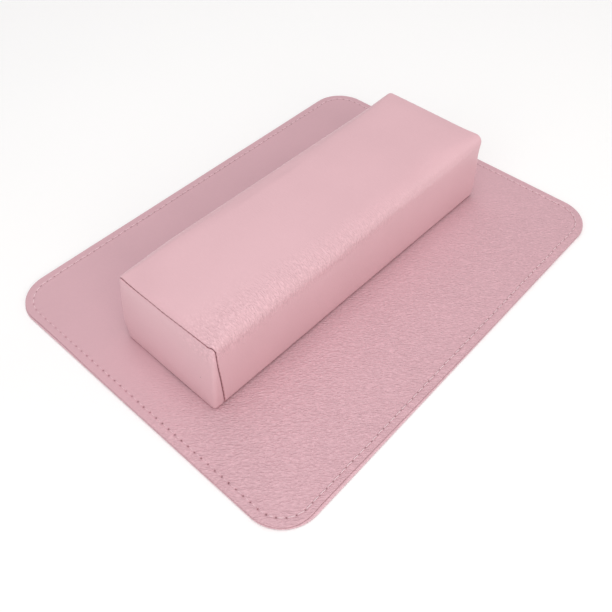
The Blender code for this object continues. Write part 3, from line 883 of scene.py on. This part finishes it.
def make_base(material):
    """The bottom panel: a loop round the box's foot, drawn in to a flat middle."""
    half_x = LENGTH / 2 - FOOT_ROUNDING
    half_y = WIDTH / 2 - FOOT_ROUNDING
    steps_x = np.linspace(-1, 1, 150)[:-1]
    steps_y = np.linspace(-1, 1, 50)[:-1]
    loop = [(s, -1.0) for s in steps_x] + [(1.0, s) for s in steps_y]
    loop += [(-s, 1.0) for s in steps_x] + [(-1.0, -s) for s in steps_y]
    loop = np.array(loop)
    widest = np.abs(loop) > 0.9999
    outward = widest * loop / np.linalg.norm(widest * loop, axis=1)[:, None]
    rows = []
    for w, n in zip(*rows_from_seam(*(k * MM for k in (2, 3, 5, 8, 14, 22, 34, 46)))):
        turn = min(w / FOOT_ROUNDING, 1.0) * math.pi / 4
        tip = np.array([math.sin(math.pi / 4 - turn), -math.cos(math.pi / 4 - turn)])
        beyond = max(w - FOOT_ROUNDING, 0.0)
        flat = loop * (half_x, half_y) - beyond * outward
        flat = flat + outward * (FOOT_ROUNDING + n) * tip[0]
        z = FOOT_ROUNDING + (FOOT_ROUNDING + n) * tip[1]
        rows.append(raised(flat, z))
    builder = Builder()
    numbers = builder.add(to_mat(np.array(rows)))
    builder.sheet(numbers, closed=True)
    builder.cap(numbers[-1])
    finish_panel(builder, "cover_base", material, "pillow_base", "base_leather")


def make_foam(material):
    """The foam block that fills the cover, squeezed a little smaller than the room in it."""
    builder = Builder()
    c = np.linspace(-3, 5, 161)[:-1]
    x = np.linspace(-LENGTH / 2 + FOAM_GAPS[NEAR], LENGTH / 2 - FOAM_GAPS[FAR], 60)
    grid_x = np.repeat(x[:, None], len(c), axis=1)
    y, z, ny, nz = arch(grid_x, np.broadcast_to(c, grid_x.shape))
    depth = FOAM_DEPTH + 0.25 * MM * noise_at(np.stack([grid_x, y, z], axis=-1), 6 * MM, 21)
    points = np.stack([grid_x, y - depth * ny, z - depth * nz], axis=-1)
    for row in (0, -1):
        points[row, :, 1:] = (points[row, :, 1:] - (0, HEIGHT / 2)) * 0.98 + (0, HEIGHT / 2)
    numbers = builder.add(to_mat(points))
    builder.sheet(numbers, closed=True)
    builder.cap(numbers[0][::-1])
    builder.cap(numbers[-1])
    builder.piece("foam_block", material, "foam_core", "foam")


# Seam stitches
def on_seam(end, c):
    """Points on an end's seam line, and the way out of the cover there."""
    surface = end_surface(end)
    return surface(0 * c, c), -end * normals_of(surface, 0 * c, c)


def sink_thread(builder, base, out, across):
    """One short thread, slanting across a seam and sunk between its lips."""
    slant = np.array([-0.35, -0.3, 0.0, 0.3, 0.35]) * MM
    depth = np.array([-1.3, -0.85, -0.7, -0.85, -1.3]) * MM
    line = base + depth[:, None] * out + slant[:, None] * across
    strand(builder, to_mat(line), SEAM_THREAD_RADIUS, turns=0.8, sides=6)


def make_seam_stitches(name, material, node, end):
    """Short threads that cross an end seam, one at each stitch, sunk between the two lips."""
    builder = Builder()
    surface = end_surface(end)
    fine = np.linspace(-3, 3, 2001)
    travel = arch_travel(fine)
    for place in np.arange(SEAM_PITCH / 2, travel[-1], SEAM_PITCH):
        c = np.interp(place + np.array([-0.9, -0.5, 0.0, 0.5, 0.9]) * MM, travel, fine)
        across = surface(0 * c + 0.3 * MM, c) - surface(0 * c - 0.3 * MM, c)
        across *= -end / np.linalg.norm(across, axis=-1)[:, None]
        sink_thread(builder, *on_seam(end, c), across)
    builder.piece(name, material, node, "seam_thread")


def make_base_stitches(material):
    """The same short threads along the seam round the underside."""
    builder = Builder()
    steps = np.array([-1.0, -0.5, 0.0, 0.5, 1.0]) * MM
    reach = LENGTH / 2 - 14 * MM
    for side in (-3.0, 3.0):
        for x in np.arange(-reach, reach, SEAM_PITCH):
            y, z, ny, nz = arch(x + steps, np.full(5, side))
            base = np.stack([x + steps, y, z], axis=-1)
            out = np.stack([0 * steps, ny, nz], axis=-1)
            sink_thread(builder, base, out, np.cross(out, (1.0, 0.0, 0.0)))
    for end in (NEAR, FAR):
        for middle_c in np.linspace(3.3, 4.7, 16):
            base, out = on_seam(end, middle_c + steps / (WIDTH / 2))
            sink_thread(builder, base, out, np.cross(out, (0.0, 1.0, 0.0)))
    builder.piece("base_seam_stitches", material, "base_seam_thread", "seam_thread")


# Materials
MAT_GRAIN_TURN = math.radians(-48)      # the way the ripples run, from the mat's long side
COVER_GRAIN_TURN = math.radians(90)
GRAIN_STRETCH = 2.5                     # how much longer a ripple is than it is wide
# The dark red of painted shade: in seams, stitch holes, thread ends, between the mat's sheets and along
# the cover's foot
PAINTED_SHADE_COLOUR = (0.20, 0.014, 0.032, 1.0)


class Shader:
    """A material's nodes, made one after another."""

    def __init__(self, name):
        self.material = bpy.data.materials.new(name)
        self.material.use_nodes = True
        self.tree = self.material.node_tree
        self.principled = self.tree.nodes["Principled BSDF"]
        self.places = self.node("ShaderNodeTexCoord").outputs["Object"]

    def feed(self, socket, value):
        if isinstance(value, bpy.types.NodeSocket):
            self.tree.links.new(value, socket)
        else:
            socket.default_value = value

    def node(self, kind, inputs=(), **settings):
        made = self.tree.nodes.new(kind)
        for key, value in settings.items():
            setattr(made, key, value)
        for key, value in dict(inputs).items():
            self.feed(made.inputs[key], value)
        return made

    def math(self, operation, *values):
        return self.node("ShaderNodeMath", dict(enumerate(values)), operation=operation).outputs[0]

    def vector(self, operation, *values):
        made = self.node("ShaderNodeVectorMath", dict(enumerate(values)), operation=operation)
        return made.outputs[0]

    def remap(self, value, low, high, to_low=0.0, to_high=1.0):
        inputs = {0: value, 1: low, 2: high, 3: to_low, 4: to_high}
        return self.node("ShaderNodeMapRange", inputs, interpolation_type="SMOOTHSTEP").outputs[0]

    def noise(self, size, detail=2.0, places=None):
        inputs = {"Vector": places or self.places, "Scale": 1 / size, "Detail": detail}
        return self.node("ShaderNodeTexNoise", inputs)

    def mix(self, share, first, second):
        inputs = {0: share, 6: first, 7: second}
        return self.node("ShaderNodeMix", inputs, data_type="RGBA").outputs[2]

    def with_painted_shade(self, base, share):
        """The colour base, with painted shade mixed in where the mesh's attribute puts it."""
        painted_shade = self.node("ShaderNodeAttribute", attribute_name="painted_shade").outputs["Fac"]
        return self.mix(self.math("MULTIPLY", painted_shade, share), base, PAINTED_SHADE_COLOUR)

    def set(self, name, value):
        self.feed(self.principled.inputs[name], value)


def shade(colour, factor):
    return tuple(min(1.0, v * factor) for v in colour) + (1.0,)


def leather(name, colour, grain, depth, turn, smooth_below=None):
    """Coated fabric with a rippled grain: domed cells between creases, longer than they are
    wide, with fine pores, soft wrinkles, a slow change of tint, painted shade in the crevices
    and painted highlights on the ripples' tops. The grain is deepest along the front and fades
    towards the back. Where smooth_below is given, for the pillow, it fades sooner, and also
    below that height."""
    s = Shader(name)
    turned = s.node(
        "ShaderNodeMapping",
        {"Vector": s.places, "Rotation": (0, 0, turn), "Scale": (GRAIN_STRETCH, 1, GRAIN_STRETCH)},
        vector_type="TEXTURE",
    ).outputs[0]
    drift = s.vector("SUBTRACT", s.noise(grain * 3.2, 2.0, turned).outputs["Color"], (0.5,) * 3)
    bent = s.vector("ADD", turned, s.vector("MULTIPLY", drift, (grain * 1.8,) * 3))
    cells = {"Vector": bent, "Scale": 1 / grain, "Randomness": 1.0}
    edge = s.node("ShaderNodeTexVoronoi", cells, feature="DISTANCE_TO_EDGE").outputs["Distance"]
    dome = s.node("ShaderNodeTexVoronoi", cells, feature="F1").outputs["Distance"]
    crease = s.remap(edge, 0.0, 0.26)
    dome = s.math("SUBTRACT", 1.0, s.math("POWER", dome, 2.0))
    pores = s.noise(grain * 0.30, 3.0).outputs["Fac"]
    folds = s.noise(grain * 3.5, 2.0, bent).outputs["Fac"]
    ripple = s.noise(grain * 0.55, 0.0, bent).outputs["Fac"]
    height = s.math("MULTIPLY", crease, 0.13)
    for form, share in ((dome, 0.50), (pores, 0.10), (folds, 0.12), (ripple, 0.80)):
        height = s.math("ADD", height, s.math("MULTIPLY", form, share))
    x, y, z = s.node("ShaderNodeSeparateXYZ", {0: s.places}).outputs
    towards = s.math("ADD", s.math("MULTIPLY", x, -0.13), s.math("MULTIPLY", y, -0.96))
    if smooth_below:
        fresh = s.remap(towards, 26 * MM, 54 * MM, 0.10, 1.0)
        upper = s.remap(z, smooth_below - 6 * MM, smooth_below + 6 * MM, 0.1, 1.0)
        fresh = s.math("MULTIPLY", fresh, upper)
    else:
        fresh = s.remap(towards, -10 * MM, 90 * MM, 0.12, 1.0)
    bump = s.node("ShaderNodeBump", {"Height": height, "Distance": depth, "Strength": fresh})
    s.set("Normal", bump.outputs[0])

    tint = s.noise(60 * MM, 3.0).outputs["Fac"]
    base = s.mix(s.remap(tint, 0.3, 0.7), shade(colour, 0.985), shade(colour, 1.015))
    # Painted shade: darker, redder colour in the grain's crevices
    deep = tuple(v * k for v, k in zip(colour, (0.80, 0.68, 0.70))) + (1.0,)
    crevice_shade = s.math("MULTIPLY", s.remap(edge, 0.0, 0.16, 0.08, 0.0), fresh)
    base = s.mix(crevice_shade, base, deep)
    # Painted highlight: lighter colour on the ripples' tops, where the light catches them
    painted_highlight = s.math("MULTIPLY", s.remap(ripple, 0.48, 0.66, 0.0, 0.8), fresh)
    base = s.mix(painted_highlight, base, shade(colour, 1.13))
    specks = s.node("ShaderNodeTexVoronoi", {"Vector": s.places, "Scale": 1 / (26 * MM)}).outputs
    speck = s.remap(specks["Distance"], 0.012, 0.022, 1.0, 0.0)
    rare = s.remap(s.node("ShaderNodeSeparateColor", {0: specks["Color"]}).outputs[0], 0.70, 0.72)
    base = s.mix(s.math("MULTIPLY", speck, rare), base, shade(colour, 0.45))
    # Painted shade mixed in from the mesh's per-point attribute
    s.set("Base Color", s.with_painted_shade(base, 0.95))
    rough = s.math("ADD", s.math("MULTIPLY", pores, 0.10), s.math("MULTIPLY", crease, -0.06))
    s.set("Roughness", s.math("ADD", rough, 0.36))
    s.set("Specular IOR Level", 0.4)
    s.set("Sheen Weight", 0.06)
    s.set("Sheen Roughness", 0.4)
    return s.material


def thread(name, colour):
    """Spun thread: fine fibres and a slightly uneven dye."""
    s = Shader(name)
    fibre = s.noise(0.12 * MM, 4.0).outputs["Fac"]
    bump = s.node("ShaderNodeBump", {"Height": fibre, "Distance": 0.06 * MM})
    s.set("Normal", bump.outputs[0])
    base = s.mix(fibre, shade(colour, 0.82), shade(colour, 1.12))
    # Painted shade at each thread's ends, where it goes down into a hole
    s.set("Base Color", s.with_painted_shade(base, 0.9))
    s.set("Roughness", s.remap(fibre, 0.2, 0.8, 0.5, 0.75))
    s.set("Sheen Weight", 0.3)
    return s.material


def foam(name, colour):
    """Open-celled foam."""
    s = Shader(name)
    cells = s.node("ShaderNodeTexVoronoi", {"Vector": s.places, "Scale": 1 / (0.8 * MM)})
    bump = s.node("ShaderNodeBump", {"Height": cells.outputs["Distance"], "Distance": 0.5 * MM})
    s.set("Normal", bump.outputs[0])
    s.set("Base Color", s.mix(cells.outputs["Distance"], shade(colour, 0.7), shade(colour, 1.0)))
    s.set("Roughness", s.remap(cells.outputs["Distance"], 0.0, 0.8, 0.8, 0.95))
    return s.material


def make_materials():
    return {
        "mat": leather("mat_leather", (0.648, 0.396, 0.442), 1.7 * MM, 0.62 * MM, MAT_GRAIN_TURN),
        "backing": leather(
            "backing_leather", (0.71, 0.45, 0.50), 1.6 * MM, 0.2 * MM, MAT_GRAIN_TURN
        ),
        "cover": leather(
            "cover_leather", (0.745, 0.465, 0.507), 1.7 * MM, 0.64 * MM, COVER_GRAIN_TURN, 55 * MM
        ),
        "end": leather(
            "end_leather", (0.74, 0.463, 0.505), 1.5 * MM, 0.50 * MM, COVER_GRAIN_TURN, 52 * MM
        ),
        "base": leather("base_leather", (0.64, 0.37, 0.42), 1.6 * MM, 0.2 * MM, COVER_GRAIN_TURN),
        "mat_thread": thread("mat_thread", (0.84, 0.62, 0.66)),
        "seam_thread": thread("seam_thread", (0.30, 0.11, 0.14)),
        "foam": foam("foam", (0.80, 0.78, 0.70)),
    }


# Studio
WARM = (1.0, 0.955, 0.915)
FLOOR_HALF = 4.0
FLOOR_LEVEL = -0.3 * MM
FLOOR_GLOW = 0.10
WORLD_COLOUR = (1.0, 0.985, 0.985, 1)
WORLD_STRENGTH = 0.43


def make_floor():
    """A wide white floor that glows a little."""
    mesh = bpy.data.meshes.new("floor")
    corners = [(x * FLOOR_HALF, y * FLOOR_HALF, 0) for x, y in ((-1, -1), (1, -1), (1, 1), (-1, 1))]
    mesh.from_pydata(corners, [], [(0, 1, 2, 3)])
    s = Shader("floor")
    tone = s.noise(0.4, 2.0).outputs["Fac"]
    s.set("Base Color", s.mix(tone, (0.90, 0.90, 0.90, 1), (0.92, 0.92, 0.92, 1)))
    s.set("Roughness", 0.9)
    s.set("Emission Color", (1, 1, 1, 1))
    s.set("Emission Strength", FLOOR_GLOW)
    mesh.materials.append(s.material)
    floor = add_object("floor", mesh)
    floor.location.z = FLOOR_LEVEL


def soft_light(name, place, size, power, colour=(1.0, 1.0, 1.0)):
    """A square soft box that faces the object."""
    data = bpy.data.lights.new(name, "AREA")
    data.shape = "SQUARE"
    data.size = size
    data.energy = power
    data.color = colour
    lamp = add_object(name, data)
    lamp.location = place
    aim = Vector((0, 0, 0.03)) - Vector(place)
    lamp.rotation_euler = aim.to_track_quat("-Z", "Y").to_euler()


def make_studio():
    make_floor()
    world = bpy.data.worlds.new("studio")
    world.use_nodes = True
    background = world.node_tree.nodes["Background"]
    background.inputs["Color"].default_value = WORLD_COLOUR
    background.inputs["Strength"].default_value = WORLD_STRENGTH
    bpy.context.scene.world = world
    soft_light("top", (0.0, 0.0, 2.0), 1.2, 12.2)
    soft_light("over_back", (0.5, 0.9, 1.5), 1.0, 3.0)
    soft_light("front_left", (-0.6, -1.4, 1.0), 1.2, 9.4, WARM)
    soft_light("near_left", (-1.4, -0.2, 0.9), 1.0, 4.3)
    soft_light("right_side", (1.3, -0.9, 0.7), 0.8, 2.4, WARM)
    bpy.context.scene.view_settings.view_transform = "Standard"


def make_camera():
    data = bpy.data.cameras.new("camera")
    data.lens = CAMERA_LENS
    data.sensor_width = CAMERA_SENSOR
    data.clip_start = 0.01
    camera = add_object("camera", data)
    right = Vector(CAMERA_RIGHT).normalized()
    backwards = right.cross(Vector(CAMERA_UP)).normalized()
    up = backwards.cross(right)
    facing = Matrix((right, up, backwards)).transposed().to_4x4()
    camera.matrix_world = Matrix.Translation(CAMERA_PLACE) @ facing
    bpy.context.scene.camera = camera


def main():
    make_camera()
    make_studio()
    materials = make_materials()
    thin = materials["mat_thread"]
    make_mat(materials)
    make_mat_stitches("mat_stitches", thin, "mat_needle_thread", NEEDLE_LEVEL, 1)
    make_mat_stitches("mat_under_stitches", thin, "mat_bobbin_thread", BOBBIN_LEVEL, -1)
    make_wrap(materials["cover"])
    make_end(NEAR, "cover_near_end", materials["end"], "pillow_near_end")
    make_end(FAR, "cover_far_end", materials["end"], "pillow_far_end")
    make_base(materials["base"])
    make_seam_stitches("near_seam_stitches", materials["seam_thread"], "near_seam_thread", NEAR)
    make_seam_stitches("far_seam_stitches", materials["seam_thread"], "far_seam_thread", FAR)
    make_base_stitches(materials["seam_thread"])
    make_foam(materials["foam"])


main()
bpy.context.view_layer.update()
